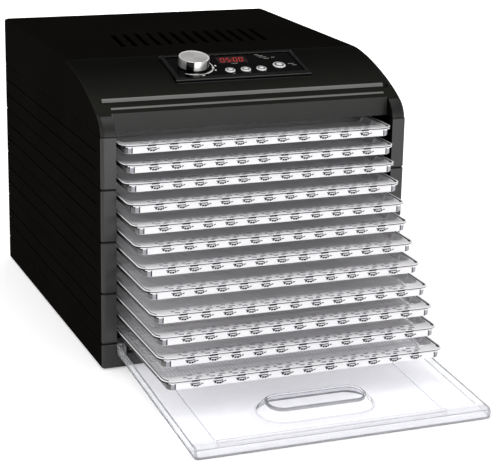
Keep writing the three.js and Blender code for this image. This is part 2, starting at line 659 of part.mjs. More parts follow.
const SHROUD_Y = CROSS_FRAME_Y + CROSS_FRAME_THICK + GAP;
function makeShroud() {
  const plate = box(-CHAMBER.half + 1, CHAMBER.half - 1, SHROUD_Y, SHROUD_Y + 2.5, CHAMBER.low, CHAMBER.high);
  const collar = alongY(disc(FAN.radius + 6.5, 0, 34, 28), 0, SHROUD_Y, FAN.z);
  const throat = alongY(disc(FAN.radius + 4, -1, 36, 28), 0, SHROUD_Y, FAN.z);
  const collarFoot = FAN.z - FAN.radius;
  const leadWay = box(-19, 19, SHROUD_Y + 2.5, SHROUD_Y + 15, collarFoot - 10, collarFoot + 8);
  return plate.add(collar).subtract(throat).subtract(leadWay);
}
place('fan_shroud', makeShroud(), metal(0xb9bab8, 0.4));

// ---------------------------------------------------------------- fan, motor and heater
function makeBlade(angle) {
  const inner = FAN.hub - 2;
  const length = FAN.radius - inner;
  const blade = new THREE.BoxGeometry(length, 2, 30, 4, 1, 1).translate(inner + length / 2, 0, 0);
  const spots = blade.attributes.position;
  for (let i = 0; i < spots.count; i += 1) {
    const x = spots.getX(i);
    const share = (x - inner) / length;
    const twist = THREE.MathUtils.degToRad(58 - 24 * share);
    const y = spots.getY(i);
    const z = spots.getZ(i) * (0.62 + 0.5 * share);
    spots.setY(i, y * Math.cos(twist) - z * Math.sin(twist));
    spots.setZ(i, y * Math.sin(twist) + z * Math.cos(twist));
  }
  return solid(blade.rotateZ(angle));
}

function makeFan() {
  let fan = turned([[0, -12], [FAN.hub - 3, -12], [FAN.hub, -9], [FAN.hub, 12], [0, 12]], 20);
  for (let i = 0; i < FAN.blades; i += 1) {
    fan = fan.add(makeBlade((i * 2 * Math.PI) / FAN.blades));
  }
  fan = fan.subtract(disc(3.25, -7, 13, 10));
  return alongY(fan, 0, FAN.y, FAN.z);
}
place('fan_impeller', makeFan(), plastic(0x3a3a3c, 0.5));

const MOTOR_Y = FAN.y + 15;
function makeMotor() {
  const motor = turned([
    [0, 12], [3.1, 12], [3.1, -2], [10, -2], [10, 0], [MOTOR_RADIUS - 3, 0], [MOTOR_RADIUS, 3],
    [MOTOR_RADIUS, 28], [MOTOR_RADIUS - 3, 31], [0, 31],
  ], 20);
  return alongY(motor, 0, MOTOR_Y, FAN.z);
}
place('fan_motor', makeMotor(), metal(0x8c8d8f, 0.35));
place('motor_shaft', alongY(disc(3, -18, 11.5, 12), 0, MOTOR_Y, FAN.z), metal(0xb4b4b4, 0.2));

class HeaterPath extends THREE.Curve {
  getPoint(t) {
    const radius = FAN.radius - 14;
    const open = THREE.MathUtils.degToRad(14);
    const angle = -Math.PI / 2 + open + t * 2 * (Math.PI - open);
    return new THREE.Vector3(radius * Math.cos(angle), 0, radius * Math.sin(angle));
  }
}
function makeHeater() {
  const section = new THREE.Shape().absarc(0, 0, 3.2, 0, 2 * Math.PI);
  let heater = solid(new THREE.ExtrudeGeometry(section, {
    steps: 32, curveSegments: 3, extrudePath: new HeaterPath(),
  }));
  const angle = -Math.PI / 2 + THREE.MathUtils.degToRad(14);
  for (const side of [-1, 1]) {
    const x = side * (FAN.radius - 14) * Math.cos(angle);
    const z = (FAN.radius - 14) * Math.sin(angle);
    heater = heater.add(disc(2.6, z - 26, z + 1, 8).translate([x, 0, 0]));
  }
  return heater.translate([0, SHROUD_Y + 7.5, FAN.z]);
}
place('heating_element', makeHeater(), metal(0x5d5752, 0.45));

function makeHeaterClip() {
  const z = FAN.z - FAN.radius - 24;
  const x = (FAN.radius - 14) * Math.sin(THREE.MathUtils.degToRad(14));
  let clip = box(-x - 8, x + 8, SHROUD_Y + 2.5 + GAP, SHROUD_Y + 14, z - 6, z + 6);
  for (const side of [-1, 1]) {
    clip = clip.subtract(disc(2.9, z - 7, z + 7, 8).translate([side * x, SHROUD_Y + 7.5, 0]));
  }
  return clip;
}
place('heater_clip', makeHeaterClip(), plastic(0xd8d2c4, 0.7));

function makeCutout() {
  const y = SHROUD_Y + 2.5 + GAP;
  const can = alongY(turned([[0, 2], [8, 2], [8, 8], [3, 9], [0, 9]], 14), 95, y, 62);
  return can.add(box(82, 108, y, y + 2.2, 57, 67));
}
place('thermal_cutout', makeCutout(), metal(0xb5b0a4, 0.4));

// ---------------------------------------------------------------- rear cover
const REAR = { low: BASE_HEIGHT + 1.5, high: COVER_BOTTOM - 1.5, y: BACK - 3, half: COVER_SEAT.half - GAP };
const GLAND = { x: -96, z: 52, radius: 8 };

function makeRearCover() {
  let cover = raised(roundedRect(-REAR.half, REAR.half, REAR.low, REAR.high, 3), 0, 3, 0, 2)
    .rotate([90, 0, 0]).translate([0, REAR.y + 3, 0]);
  // the intake: rows of slots inside a circle, each row split by a web in the middle
  const pitch = 13;
  const slot = 6;
  for (let row = -5; row <= 5; row += 1) {
    const chord = Math.sqrt((FAN.radius - 2) ** 2 - (row * pitch) ** 2);
    const z = FAN.z + row * pitch;
    for (const [x0, x1] of [[-chord, -3], [3, chord]]) {
      cover = cover.subtract(box(x0, x1, REAR.y - 1, REAR.y + 4, z - slot / 2, z + slot / 2));
    }
  }
  // posts that carry the motor
  for (let i = 0; i < 3; i += 1) {
    const angle = Math.PI / 2 + (i * 2 * Math.PI) / 3;
    const post = disc(3.5, 0, REAR.y - MOTOR_Y - 31 - GAP + 1, 8);
    cover = cover.add(alongY(post, 22 * Math.cos(angle), MOTOR_Y + 31 + GAP, FAN.z + 22 * Math.sin(angle)));
  }
  for (const [x, z] of REAR_SCREWS) {
    cover = cover.subtract(alongY(disc(2.3, -1, 5, 8).add(disc(4.5, 1.5, 5, 12)), x, REAR.y, z));
  }
  return cover.subtract(alongY(disc(GLAND.radius, -1, 5, 12), GLAND.x, REAR.y, GLAND.z));
}
place('rear_cover', makeRearCover(), plastic(0x252423, 0.5));

REAR_SCREWS.forEach(([x, z], i) => {
  const screw = turned([[0, -6], [1.9, -6], [1.9, 1.8], [4, 1.8], [4, 2.3], [2.8, 2.9], [0, 2.9]], 10);
  place(`rear_screw_${i + 1}`, alongY(screw, x, REAR.y, z), metal(0x77787a, 0.35));
});

// Bushing in the lead's way out of the housing
function makeGland() {
  const { radius } = GLAND;
  return alongY(turned([
    [3.6, -2.4], [radius + 2, -2.4], [radius + 2, -GAP], [radius - GAP, -GAP], [radius - GAP, 3],
    [3.6, 3], [3.6, -2.4],
  ], 14), GLAND.x, REAR.y, GLAND.z);
}
place('cord_gland', makeGland(), plastic(0x1a1a1a, 0.7));

const dehydrator = new THREE.Group();
dehydrator.add(machine);
export default dehydrator;
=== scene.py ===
"""Looks of the food dehydrator: materials, fine mesh pieces, lights and camera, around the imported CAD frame."""
import math

import bmesh
import bpy
from mathutils import Matrix, Vector


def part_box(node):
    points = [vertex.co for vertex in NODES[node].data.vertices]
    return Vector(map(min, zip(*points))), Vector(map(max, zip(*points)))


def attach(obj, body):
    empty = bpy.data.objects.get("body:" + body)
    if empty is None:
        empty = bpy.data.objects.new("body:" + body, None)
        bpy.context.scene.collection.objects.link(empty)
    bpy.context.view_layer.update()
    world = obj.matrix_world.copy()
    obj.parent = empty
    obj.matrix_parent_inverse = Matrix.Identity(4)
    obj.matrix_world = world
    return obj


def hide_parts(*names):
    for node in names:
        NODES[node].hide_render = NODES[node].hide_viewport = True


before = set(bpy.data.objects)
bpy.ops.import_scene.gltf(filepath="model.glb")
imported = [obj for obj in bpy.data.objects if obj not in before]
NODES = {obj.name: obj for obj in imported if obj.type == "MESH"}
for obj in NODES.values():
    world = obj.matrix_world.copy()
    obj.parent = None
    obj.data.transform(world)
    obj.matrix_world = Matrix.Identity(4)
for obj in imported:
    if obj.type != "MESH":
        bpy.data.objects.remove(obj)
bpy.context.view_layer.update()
scene = bpy.context.scene


def mid(node):
    low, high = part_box(node)
    return (low + high) / 2


BY = mid("base").y  # middle of the housing; the origin is the middle of the whole object
MM = 0.001


# ------------------------------------------------------------------ node materials
class Nodes:
    """Short names for building the node tree of a material, or of the world."""

    def __init__(self, name, world=False):
        self.owner = (bpy.data.worlds if world else bpy.data.materials).new(name)
        self.owner.use_nodes = True
        self.tree = self.owner.node_tree
        self.tree.nodes.clear()
        self.out = self.add("ShaderNodeOutputWorld" if world else "ShaderNodeOutputMaterial")

    def add(self, kind, **values):
        """A node, with values for its inputs, named with _ for a space, and for its other settings."""
        node = self.tree.nodes.new(kind)
        for key, value in values.items():
            label = key.replace("_", " ")
            if label in node.inputs:
                node.inputs[label].default_value = value
            else:
                setattr(node, key, value)
        return node

    def link(self, output, socket):
        self.tree.links.new(output, socket)

    def coords(self, kind="Object"):
        return self.add("ShaderNodeTexCoord").outputs[kind]

    def split(self, kind="Object"):
        node = self.add("ShaderNodeSeparateXYZ")
        self.link(self.coords(kind), node.inputs[0])
        return node

    def noise(self, scale, detail=2.0, rough=0.5):
        noise = self.add("ShaderNodeTexNoise", Scale=scale, Detail=detail, Roughness=rough)
        self.link(self.coords(), noise.inputs["Vector"])
        return noise.outputs["Fac"]

    def ramp(self, fac, stops):
        ramp = self.add("ShaderNodeValToRGB")
        while len(ramp.color_ramp.elements) < len(stops):
            ramp.color_ramp.elements.new(0.5)
        for element, (at, color) in zip(ramp.color_ramp.elements, stops):
            element.position = at
            element.color = (*color, 1)
        self.link(fac, ramp.inputs["Fac"])
        return ramp.outputs["Color"]

    def varied(self, color, spread, scale, detail, top=None):
        """A colour that drifts between two tones; top is how far the lighter one goes, where it isn't spread."""
        top = spread if top is None else top
        tones = [(0.3, tuple(c * (1 - spread) for c in color)), (0.7, tuple(c * (1 + top) for c in color))]
        return self.ramp(self.noise(scale, detail), tones)

    def span(self, fac, **ends):
        """A value carried from one span to another, both 0 to 1 where their ends aren't given."""
        node = self.add("ShaderNodeMapRange", **ends)
        self.link(fac, node.inputs["Value"])
        return node.outputs["Result"]

    def bump(self, height, distance):
        node = self.add("ShaderNodeBump", Strength=1.0, Distance=distance)
        self.link(height, node.inputs["Height"])
        return node.outputs["Normal"]

    def compute(self, operation, *values):
        """A sum on outputs of nodes and plain numbers."""
        node = self.add("ShaderNodeMath", operation=operation)
        for socket, value in zip(node.inputs, values):
            if isinstance(value, float):
                socket.default_value = value
            else:
                self.link(value, socket)
        return node.outputs[0]

    def turn_of(self, split, times, shift):
        """The angle about the piece's own Z axis, in radians, times a number plus a shift."""
        angle = self.compute("ARCTAN2", split.outputs["Y"], split.outputs["X"])
        return self.compute("MULTIPLY_ADD", angle, times, shift)

    def principled(self, **values):
        return self.add("ShaderNodeBsdfPrincipled", **values)

    def done(self, shader):
        self.link(shader.outputs[0], self.out.inputs["Surface"])
        return self.owner


def lin(r, g, b):
    """An sRGB colour, 0 to 255, as linear values."""
    def one(v):
        v /= 255
        return v / 12.92 if v <= 0.04045 else ((v + 0.055) / 1.055) ** 2.4
    return (one(r), one(g), one(b))


def moulded(name, color, rough, grain=0.6, shine=0.2, fade=None):
    """Moulded plastic with a fine spark-eroded grain and slight unevenness in tone.

    fade is (height, height, share): between the two heights the colour falls to that share of itself, a painted shade.
    """
    n = Nodes(name)
    s = n.principled(IOR=1.5, Specular_IOR_Level=shine)
    look = n.varied(color, 0.1, 9, 4)
    # painted shade: the colour darkens with height, where a curved surface turns away from the light
    if fade:
        share = n.span(n.split().outputs["Z"], From_Min=fade[0], From_Max=fade[1], To_Min=1.0, To_Max=fade[2])
        scaled = n.add("ShaderNodeVectorMath", operation="SCALE")
        n.link(look, scaled.inputs[0])
        n.link(share, scaled.inputs["Scale"])
        look = scaled.outputs[0]
    n.link(look, s.inputs["Base Color"])
    n.link(n.span(n.noise(60, 3), To_Min=rough - 0.05, To_Max=rough + 0.05), s.inputs["Roughness"])
    n.link(n.bump(n.noise(1600, 2, 0.6), 0.00006 * grain), s.inputs["Normal"])
    return n.done(s)


def gloss(name, color, rough=0.12, shine=0.5):
    """Polished plastic or a lacquered board, with a faint waviness."""
    n = Nodes(name)
    s = n.principled(IOR=1.5, Specular_IOR_Level=shine)
    n.link(n.varied(color, 0.12, 25, 3), s.inputs["Base Color"])
    n.link(n.span(n.noise(40, 3), To_Min=rough - 0.03, To_Max=rough + 0.04), s.inputs["Roughness"])
    n.link(n.bump(n.noise(90, 2), 0.00004), s.inputs["Normal"])
    return n.done(s)


def steel(name, color, rough=0.3, metal=1.0):
    """Metal, or a metallic finish where metal is under 1, unevenly bright."""
    n = Nodes(name)
    s = n.principled(Metallic=metal)
    n.link(n.varied(color, 0.12, 60, 3, top=0.0), s.inputs["Base Color"])
    n.link(n.span(n.noise(300, 3), To_Min=rough - 0.06, To_Max=rough + 0.08), s.inputs["Roughness"])
    return n.done(s)


def spun(name, color, rough):
    """Metal turned on a lathe: fine rings about the piece's own axis, and two lighter wedges painted in as the
    highlights that spun metal shows.
    """
    n = Nodes(name)
    s = n.principled(Metallic=0.35)
    split = n.split()
    flat = n.add("ShaderNodeCombineXYZ")
    n.link(split.outputs["X"], flat.inputs["X"])
    n.link(split.outputs["Y"], flat.inputs["Y"])
    reach = n.add("ShaderNodeVectorMath", operation="LENGTH")
    n.link(flat.outputs[0], reach.inputs[0])
    rings = n.add("ShaderNodeTexNoise", noise_dimensions="1D", Scale=2600)
    n.link(reach.outputs["Value"], rings.inputs["W"])
    # two lighter wedges: painted highlights
    wedges = n.compute("SINE", n.turn_of(split, 2.0, 0.6))
    shade = n.compute("MULTIPLY_ADD", wedges, 0.1, rings.outputs["Fac"])
    tones = [(0.2, tuple(c * 0.72 for c in color)), (0.8, tuple(c * 1.3 for c in color))]
    n.link(n.ramp(shade, tones), s.inputs["Base Color"])
    n.link(n.span(rings.outputs["Fac"], To_Min=rough - 0.06, To_Max=rough + 0.08), s.inputs["Roughness"])
    n.link(n.bump(rings.outputs["Fac"], 0.00003), s.inputs["Normal"])
    return n.done(s)


# painted reflections round the knob's wall: degrees round it, and how bright it is there
PAINTED_REFLECTIONS = ((0, 0.12), (26, 0.34), (42, 0.26), (44, 0.004), (72, 0.004), (74, 1.0), (92, 1.0), (104, 0.5), (124, 0.3),
           (132, 0.05), (150, 0.2), (178, 0.4), (200, 0.8), (222, 0.4), (236, 0.03), (262, 0.05), (280, 0.3),
           (312, 0.5), (338, 0.1))


def chrome_with_painted_reflections(name, rough):
    """Bright metal with painted reflections: upright dark and bright streaks about the piece's axis that stand for what
    a turned and plated wall reflects.
    """
    n = Nodes(name)
    s = n.principled(Metallic=0.55)
    share = n.span(n.turn_of(n.split(), 1.0, 0.0), From_Min=-math.pi, From_Max=math.pi)
    tones = [(angle / 360, (v, v * 0.99, v * 0.98)) for angle, v in PAINTED_REFLECTIONS]
    n.link(n.ramp(share, tones), s.inputs["Base Color"])
    n.link(n.span(n.noise(200, 2), To_Min=rough - 0.04, To_Max=rough + 0.05), s.inputs["Roughness"])
    return n.done(s)


def clear_plastic(name, tint, transmission, rough, cloud=0.0, ior=1.46):
    """Clear polystyrene: glossy, mostly see-through, with faint unevenness."""
    n = Nodes(name)
    s = n.principled(IOR=ior, Transmission_Weight=transmission)
    n.link(n.varied(tint, cloud, 20, 3, top=0.0), s.inputs["Base Color"])
    n.link(n.span(n.noise(70, 3), To_Min=max(rough - 0.03, 0.0), To_Max=rough + 0.03), s.inputs["Roughness"])
    n.link(n.bump(n.noise(55, 2), 0.00005), s.inputs["Normal"])
    return n.done(s)


LOOKS = {
    "shell": moulded("housing_plastic", lin(15, 14, 13), 0.74, shine=0.0),
    # the same plastic painted lighter and shinier on faces turned to the right and back: painted light
    "shell_back": moulded("housing_plastic_painted_lighter", lin(24, 23, 22), 0.55, shine=0.35),
    # a satin finish, lighter than the shell: the lighter colour is painted light on front-facing faces
    "satin": moulded("housing_satin_painted_light", lin(27, 26, 25), 0.42, 0.4, shine=0.6),
    # the slope: lighter than the top as painted light, and darkening towards its top as painted shade
    "slope": moulded("housing_slope_painted_shading", lin(29, 29, 26), 0.6, 0.4, shine=0.03, fade=(0.282, 0.304, 0.3)),
    # the fascia: a lighter, glossier copy of the shell plastic, painted light
    "fascia": moulded("housing_fascia_painted_light", lin(20, 20, 18), 0.45, 0.4, shine=0.32),
    # painted highlights on broken edges: a little lighter on the side seams, lighter still on the strips' inner edges
    "seam": moulded("housing_seam_painted_highlight", lin(34, 33, 33), 0.5, 0.4, shine=0.35),
    "rim": moulded("housing_edge_painted_highlight", lin(44, 43, 42), 0.4, 0.3, shine=0.7),
    # light grey bands along the cover's steps: painted highlights
    "nose": moulded("housing_step_painted_highlight", lin(104, 104, 102), 0.35, 0.2, shine=0.6),
    "inner": moulded("inner_plastic", lin(40, 39, 39), 0.6, shine=0.15),
    "gloss_black": gloss("bezel_gloss", lin(4, 4, 4), 0.14, shine=0.3),
    # painted highlights on the frame's front and right edges and on one facet of its lower edge
    "gloss_line": gloss("bezel_edge_painted_highlight", lin(36, 34, 33), 0.2, shine=0.5),
    "face_black": gloss("panel_gloss", lin(2, 2, 2), 0.2, shine=0.05),
    "ink": moulded("panel_ink", lin(226, 226, 222), 0.5),
    "ink_grey": moulded("panel_ink_grey", lin(120, 118, 114), 0.5),
    "digits": gloss("display_digits", lin(178, 44, 38), 0.3),
    "knob_side": chrome_with_painted_reflections("knob_side", 0.2),
    "knob_top": spun("knob_top", (0.55, 0.54, 0.53), 0.34),
    "knob_rim": steel("knob_rim", (0.9, 0.89, 0.88), 0.2, 0.4),
    "cap": steel("button_cap", (0.93, 0.92, 0.91), 0.24, 0.25),
    # darker grey in the caps' ring groove: painted shade
    "cap_groove": steel("button_groove_painted_shade", lin(112, 112, 114), 0.4, 0.6),
    "rubber": moulded("feet_rubber", lin(28, 28, 28), 0.75, 1.5),
    "silver": steel("silver", (0.72, 0.72, 0.72), 0.2),
    "steel": steel("steel", (0.45, 0.45, 0.46), 0.32),
    "sheet": steel("shroud_sheet", (0.6, 0.6, 0.6), 0.38),
    "board": gloss("board", lin(30, 78, 44), 0.35),
    "ceramic": moulded("ceramic", lin(214, 208, 196), 0.6),
    "fan": moulded("fan_plastic", lin(58, 58, 60), 0.5),
    "display": gloss("display_tint", lin(30, 5, 6), 0.08),
    "tray": clear_plastic("tray_clear", (0.95, 0.94, 0.96), 0.10, 0.18, 0.03),
    # painted shade on the trays' side walls and at their corners
    "tray_side": clear_plastic("tray_wall", (0.15, 0.15, 0.15), 0.2, 0.16, 0.3),
    "tray_corner": clear_plastic("tray_corner", (0.42, 0.42, 0.46), 0.2, 0.16, 0.2),
    "tray_dark": clear_plastic("tray_refraction", (0.012, 0.012, 0.015), 0.05, 0.2, 0.1),
    "door": clear_plastic("door_clear", (0.935, 0.935, 0.965), 0.98, 0.03, 0.01, 1.15),
    "door_edge": clear_plastic("door_edge", (0.97, 0.97, 0.985), 0.85, 0.08, 0.02, 1.12),
    # dark grey and light grey lines on the clear door: painted shade for the lines that light bent at its edges shows
    "door_line": clear_plastic("door_line", (0.26, 0.265, 0.29), 0.5, 0.1, 0.1, 1.2),
    "door_crease": clear_plastic("door_crease", (0.8, 0.8, 0.84), 0.8, 0.1, 0.05, 1.15),
}

CAD_LOOKS = {
    "shell": ["base", "section_1", "section_2", "section_3", "section_4", "top_cover", "rear_cover"],
    "inner": ["chamber_ceiling", "air_diffuser"],
    "gloss_black": ["control_bezel"],
    "face_black": ["control_panel"],
    "rubber": ["foot_1", "foot_2", "foot_3", "foot_4", "cord_gland"],
    "silver": ["knob", "button_1", "button_2", "button_3", "start_button"],
    "steel": ["encoder", "encoder_shaft", "hinge_pin_left", "hinge_pin_right", "fan_motor", "motor_shaft",
              "thermal_cutout", "heating_element", "rear_screw_1", "rear_screw_2", "rear_screw_3",
              "rear_screw_4"],
    "sheet": ["fan_shroud"],
    "board": ["circuit_board"],
    "ceramic": ["heater_clip"],
    "fan": ["fan_impeller"],
    "display": ["display_window", "display_module"],
    "tray": ["tray_%d" % (i + 1) for i in range(12)],
    "door": ["door"],
}
for look, names in CAD_LOOKS.items():
    for name in names:
        node = NODES[name]
        node.data.materials.clear()
        node.data.materials.append(LOOKS[look])


# ------------------------------------------------------------------ mesh helpers, in millimetres
def rounded(half, depth, inset, radius, steps, ends=None):
    """Points of a rounded rectangle, x within half, y from 0 to depth, moved in by inset, anticlockwise.

    ends is the inset at the two ends of y, where it differs.
    """
    r = max(radius - inset, 1.5)
    ends = inset if ends is None else ends
    x, y0, y1 = half - inset, ends, depth - ends
    points = []
    for cx, cy, start in ((x - r, y0 + r, -90), (x - r, y1 - r, 0), (-x + r, y1 - r, 90), (-x + r, y0 + r, 180)):
        for k in range(steps + 1):
            a = math.radians(start + 90 * k / steps)
            points.append((cx + r * math.cos(a), cy + r * math.sin(a)))
    return points


def skinned(bm, rows):
    """Bands of faces between rows of vertices that go around; a row of one vertex is a point."""
    bands = []
    for a, b in zip(rows, rows[1:]):
        count = max(len(a), len(b))
        band = []
        for i in range(count):
            j = (i + 1) % count
            around = (a[i % len(a)], a[j % len(a)], b[j % len(b)], b[i % len(b)])
            band.append(bm.faces.new(list(dict.fromkeys(around))))
        bands.append(band)
    return bands


def add_prism(bm, outline, axis, low, high, look=0):
    """An outline of (u, v) points pushed along an axis; u and v are the other two axes, in order.

    look is the place of the look of its faces in the object's list.
    """
    def at(u, v, w):
        return {"x": (w, u, v), "y": (u, w, v), "z": (u, v, w)}[axis]
    a = [bm.verts.new(at(u, v, low)) for u, v in outline]
    b = [bm.verts.new(at(u, v, high)) for u, v in outline]
    faces = [bm.faces.new(a), bm.faces.new(list(reversed(b)))]
    count = len(outline)
    for i in range(count):
        j = (i + 1) % count
        faces.append(bm.faces.new((a[j], a[i], b[i], b[j])))
    for face in faces:
        face.material_index = look
    return faces


def finished(bm, name, looks, sharp=35):
    """An object, in metres, from a bmesh in millimetres, shaded smooth except at edges sharper than sharp."""
    bmesh.ops.recalc_face_normals(bm, faces=bm.faces)
    bmesh.ops.scale(bm, vec=(MM, MM, MM), verts=bm.verts)
    mesh = bpy.data.meshes.new(name)
    bm.to_mesh(mesh)
    bm.free()
    for look in looks:
        mesh.materials.append(LOOKS[look])
    for poly in mesh.polygons:
        poly.use_smooth = True
    mesh.set_sharp_from_angle(angle=math.radians(sharp))
    return placed(name, mesh)


def placed(name, data):
    """An object, in the scene, for a mesh, a lamp or a camera."""
    ob = bpy.data.objects.new(name, data)
    scene.collection.objects.link(ob)
    return ob


def shaded_evenly(ob):
    """Large flat faces keep their shading up to their broken edges."""
    even = ob.modifiers.new("even_shading", "WEIGHTED_NORMAL")
    even.keep_sharp = True
    even.weight = 80


# ------------------------------------------------------------------ housing
FRONT_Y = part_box("section_1")[0].y / MM
FACING_Y, STRIP_Y, STEPS_Y, SLOPE_Y = (FRONT_Y + v for v in (20, 4, 45, 134))  # how far back from the front these reach
SIDE_X, CHEEK_X, CHEEK_Z = 165, 150, 269  # a side is beyond the first; a cheek beyond the second, below the third
AWAY = 0.6  # a face that looks to the right or to the back does so by more than this
BODY_LOOKS = ("shell", "satin", "rim", "shell_back", "seam")
COVER_LOOKS = ("shell", "satin", "slope", "fascia", "nose", "shell_back", "seam")
VENTS = (Vector((4, 21 + BY / MM)), 96, 48)  # middle, half width and half length of the slotted field
# half width, least tilt, y span and z span of the painted highlight lines along the cover's two steps
NOSES = ((159.0, 0.6, -179.5, -175.45, 277.6, 282.6), (153.5, 0.1, -193.6, -191.1, 273.2, 275.2))
# the planes, as a point and a direction, that split the steps where those lines end
CUTS = [((side * reach[0], 0, 0), (1, 0, 0)) for reach in NOSES for side in (-1, 1)] + [
    ((0, NOSES[1][3] + BY / MM, 0), (0, 1, 0))]


def refined(node, radius, looks, choose, edge=None, extra=None, cuts=()):
    """A copy of a CAD body with its edges broken by a small radius, and a look chosen for each face.

    edge chooses the look of a broken edge, where it isn't the face's; extra adds detail to the mesh;
    cuts are the planes that split the faces at the front, so that a line can end inside a face.
    """
    bm = bmesh.new()
    bm.from_mesh(NODES[node].data)
    bmesh.ops.scale(bm, vec=(1 / MM, 1 / MM, 1 / MM), verts=bm.verts)
    bmesh.ops.remove_doubles(bm, verts=bm.verts, dist=0.002)
    bmesh.ops.dissolve_limit(bm, angle_limit=math.radians(1.2), verts=bm.verts, edges=bm.edges)
    bmesh.ops.dissolve_degenerate(bm, dist=0.01, edges=bm.edges)
    for at, across in cuts:
        near = [f for f in bm.faces if f.calc_center_median().y < STEPS_Y]
        around = list({e for f in near for e in f.edges}) + list({v for f in near for v in f.verts})
        bmesh.ops.bisect_plane(bm, geom=near + around, dist=1e-4, plane_co=at, plane_no=across)
    sharp = [e for e in bm.edges if len(e.link_faces) == 2 and e.calc_face_angle() > math.radians(38)]
    broken = bmesh.ops.bevel(bm, geom=sharp, offset=radius, segments=2, profile=0.5, affect="EDGES",
                             clamp_overlap=True)["faces"]
    for faces, rule in ((bm.faces, choose), (broken, edge or choose)):
        for face in faces:
            face.material_index = looks.index(rule(face.calc_center_median(), face.normal))
    if extra:
        extra(bm)
    ob = finished(bm, node + "_fine", looks, 40)
    shaded_evenly(ob)
    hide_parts(node)
    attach(ob, "housing")
    return ob


def plain(look):
    """One look for every face."""
    return lambda centre, normal: look


def shell(normal):
    """The shell's own look, painted lighter and shinier where it looks to the right or to the back: painted light."""
    return "shell_back" if normal.x > AWAY or normal.y > AWAY else "shell"


def body_face(centre, normal):
    """Satin on what faces forward along the front of the housing: a satin finish whose lighter colour is painted light.
    """
    return "satin" if centre.y < FACING_Y and normal.y < -0.3 else shell(normal)


def body_edge(centre, normal):
    """The inner edges of the front strips catch the light, and the seams along the sides a little of it."""
    if normal.x * centre.x < 0 and abs(centre.x) < SIDE_X and centre.y < STRIP_Y:
        return "rim"
    return "seam" if abs(centre.x) > SIDE_X and abs(normal.x) > 0.2 else body_face(centre, normal)


def cover_face(centre, normal):
    """The cover's curved front: the lines along its steps, painted highlights, and its slope, the fascia and the
    cheeks, lighter copies of the shell plastic painted light.
    """
    if not (normal.y < -0.03 and centre.y < SLOPE_Y and abs(normal.x) < 0.75):
        return shell(normal)
    y = centre.y - BY / MM
    if any(abs(centre.x) < reach and -normal.y > tilt and y0 < y < y1 and z0 < centre.z < z1
           for reach, tilt, y0, y1, z0, z1 in NOSES):
        return "nose"
    if normal.z > 0.15 and not (abs(centre.x) > CHEEK_X and centre.z < CHEEK_Z):
        return "slope"
    return "fascia" if abs(centre.x) < CHEEK_X else "satin"


def cover_edge(centre, normal):
    """The edges of the slots catch the light, and the seams along the sides a little of it."""
    middle, half_width, half_length = VENTS
    if abs(centre.x - middle.x) < half_width and abs(centre.y - middle.y) < half_length:
        return "satin"
    return "seam" if abs(centre.x) > SIDE_X and normal.y > -0.03 else cover_face(centre, normal)


for name in ("section_1", "section_2", "section_3", "section_4", "base"):
    refined(name, 0.55, BODY_LOOKS, body_face, edge=body_edge)
# the rear cover has the lighter copy all over: painted light
refined("rear_cover", 0.5, ("shell_back",), plain("shell_back"))
cover = refined("top_cover", 0.55, COVER_LOOKS, cover_face, edge=cover_edge, cuts=CUTS)
for poly in cover.data.polygons:
    poly.use_smooth = poly.material_index != COVER_LOOKS.index("nose")


# ------------------------------------------------------------------ controls
PANEL_AT = Vector((6, -95.2, 308.2))  # middle of the frame's upper edge, in millimetres
PANEL_TILT = math.radians(13.25)
FACE = -1.0  # top of the face plate, below the frame's top face
PANEL = (Matrix.Translation(PANEL_AT * MM + Vector((0, BY, 0))) @ Matrix.Rotation(PANEL_TILT, 4, "X"))
KNOB = (-46.8, 29.3)  # x, and the distance down the slope
BUTTONS = (("button_1", -10.2, 45.4, 5.5), ("button_2", 7.8, 45.4, 5.5), ("button_3", 25.8, 45.4, 5.5),
           ("start_button", 49, 39, 7))  # node, x, distance down the slope, radius
FRAME_LOOKS = ("gloss_black", "face_black", "gloss_line")
PANEL_LOOKS = ("face_black", "ink", "ink_grey")
DISPLAY_LOOKS = ("display", "digits")
KNOB_LOOKS = ("knob_side", "knob_rim", "knob_top")
CAP_LOOKS = ("cap", "cap_groove")


def annulus(bm, centre, radius, width, start, end, low, high, look):
    """A printed arc; angles in degrees, 0 to the right and 90 down the slope."""
    steps = max(2, int(abs(end - start) / 4))
    outer, inner = [], []
    for k in range(steps + 1):
        a = math.radians(start + (end - start) * k / steps)
        for points, r in ((outer, radius + width / 2), (inner, radius - width / 2)):
            points.append((centre[0] + r * math.cos(a), -centre[1] - r * math.sin(a)))
    add_prism(bm, outer + inner[::-1], "z", low, high, look)


def strip(bm, at, size, low, high, look, lean=0.0):
    """A small printed bar, centred at (x, distance down the slope), its upper end moved right by lean."""
    (x, s), (w, l) = at, size
    outline = [(x - w / 2 - lean / 2, -s - l / 2), (x + w / 2 - lean / 2, -s - l / 2),
               (x + w / 2 + lean / 2, -s + l / 2), (x - w / 2 + lean / 2, -s + l / 2)]
    add_prism(bm, outline, "z", low, high, look)


def turned(bm, profile, steps):
    """The bands of a solid of revolution about Z, from (radius, height) points; the ends are on the axis."""
    rows = []
    for r, z in profile:
        turns = [2 * math.pi * i / steps for i in range(steps if r else 1)]
        rows.append([bm.verts.new((r * math.cos(a), r * math.sin(a), z)) for a in turns])
    return skinned(bm, rows)


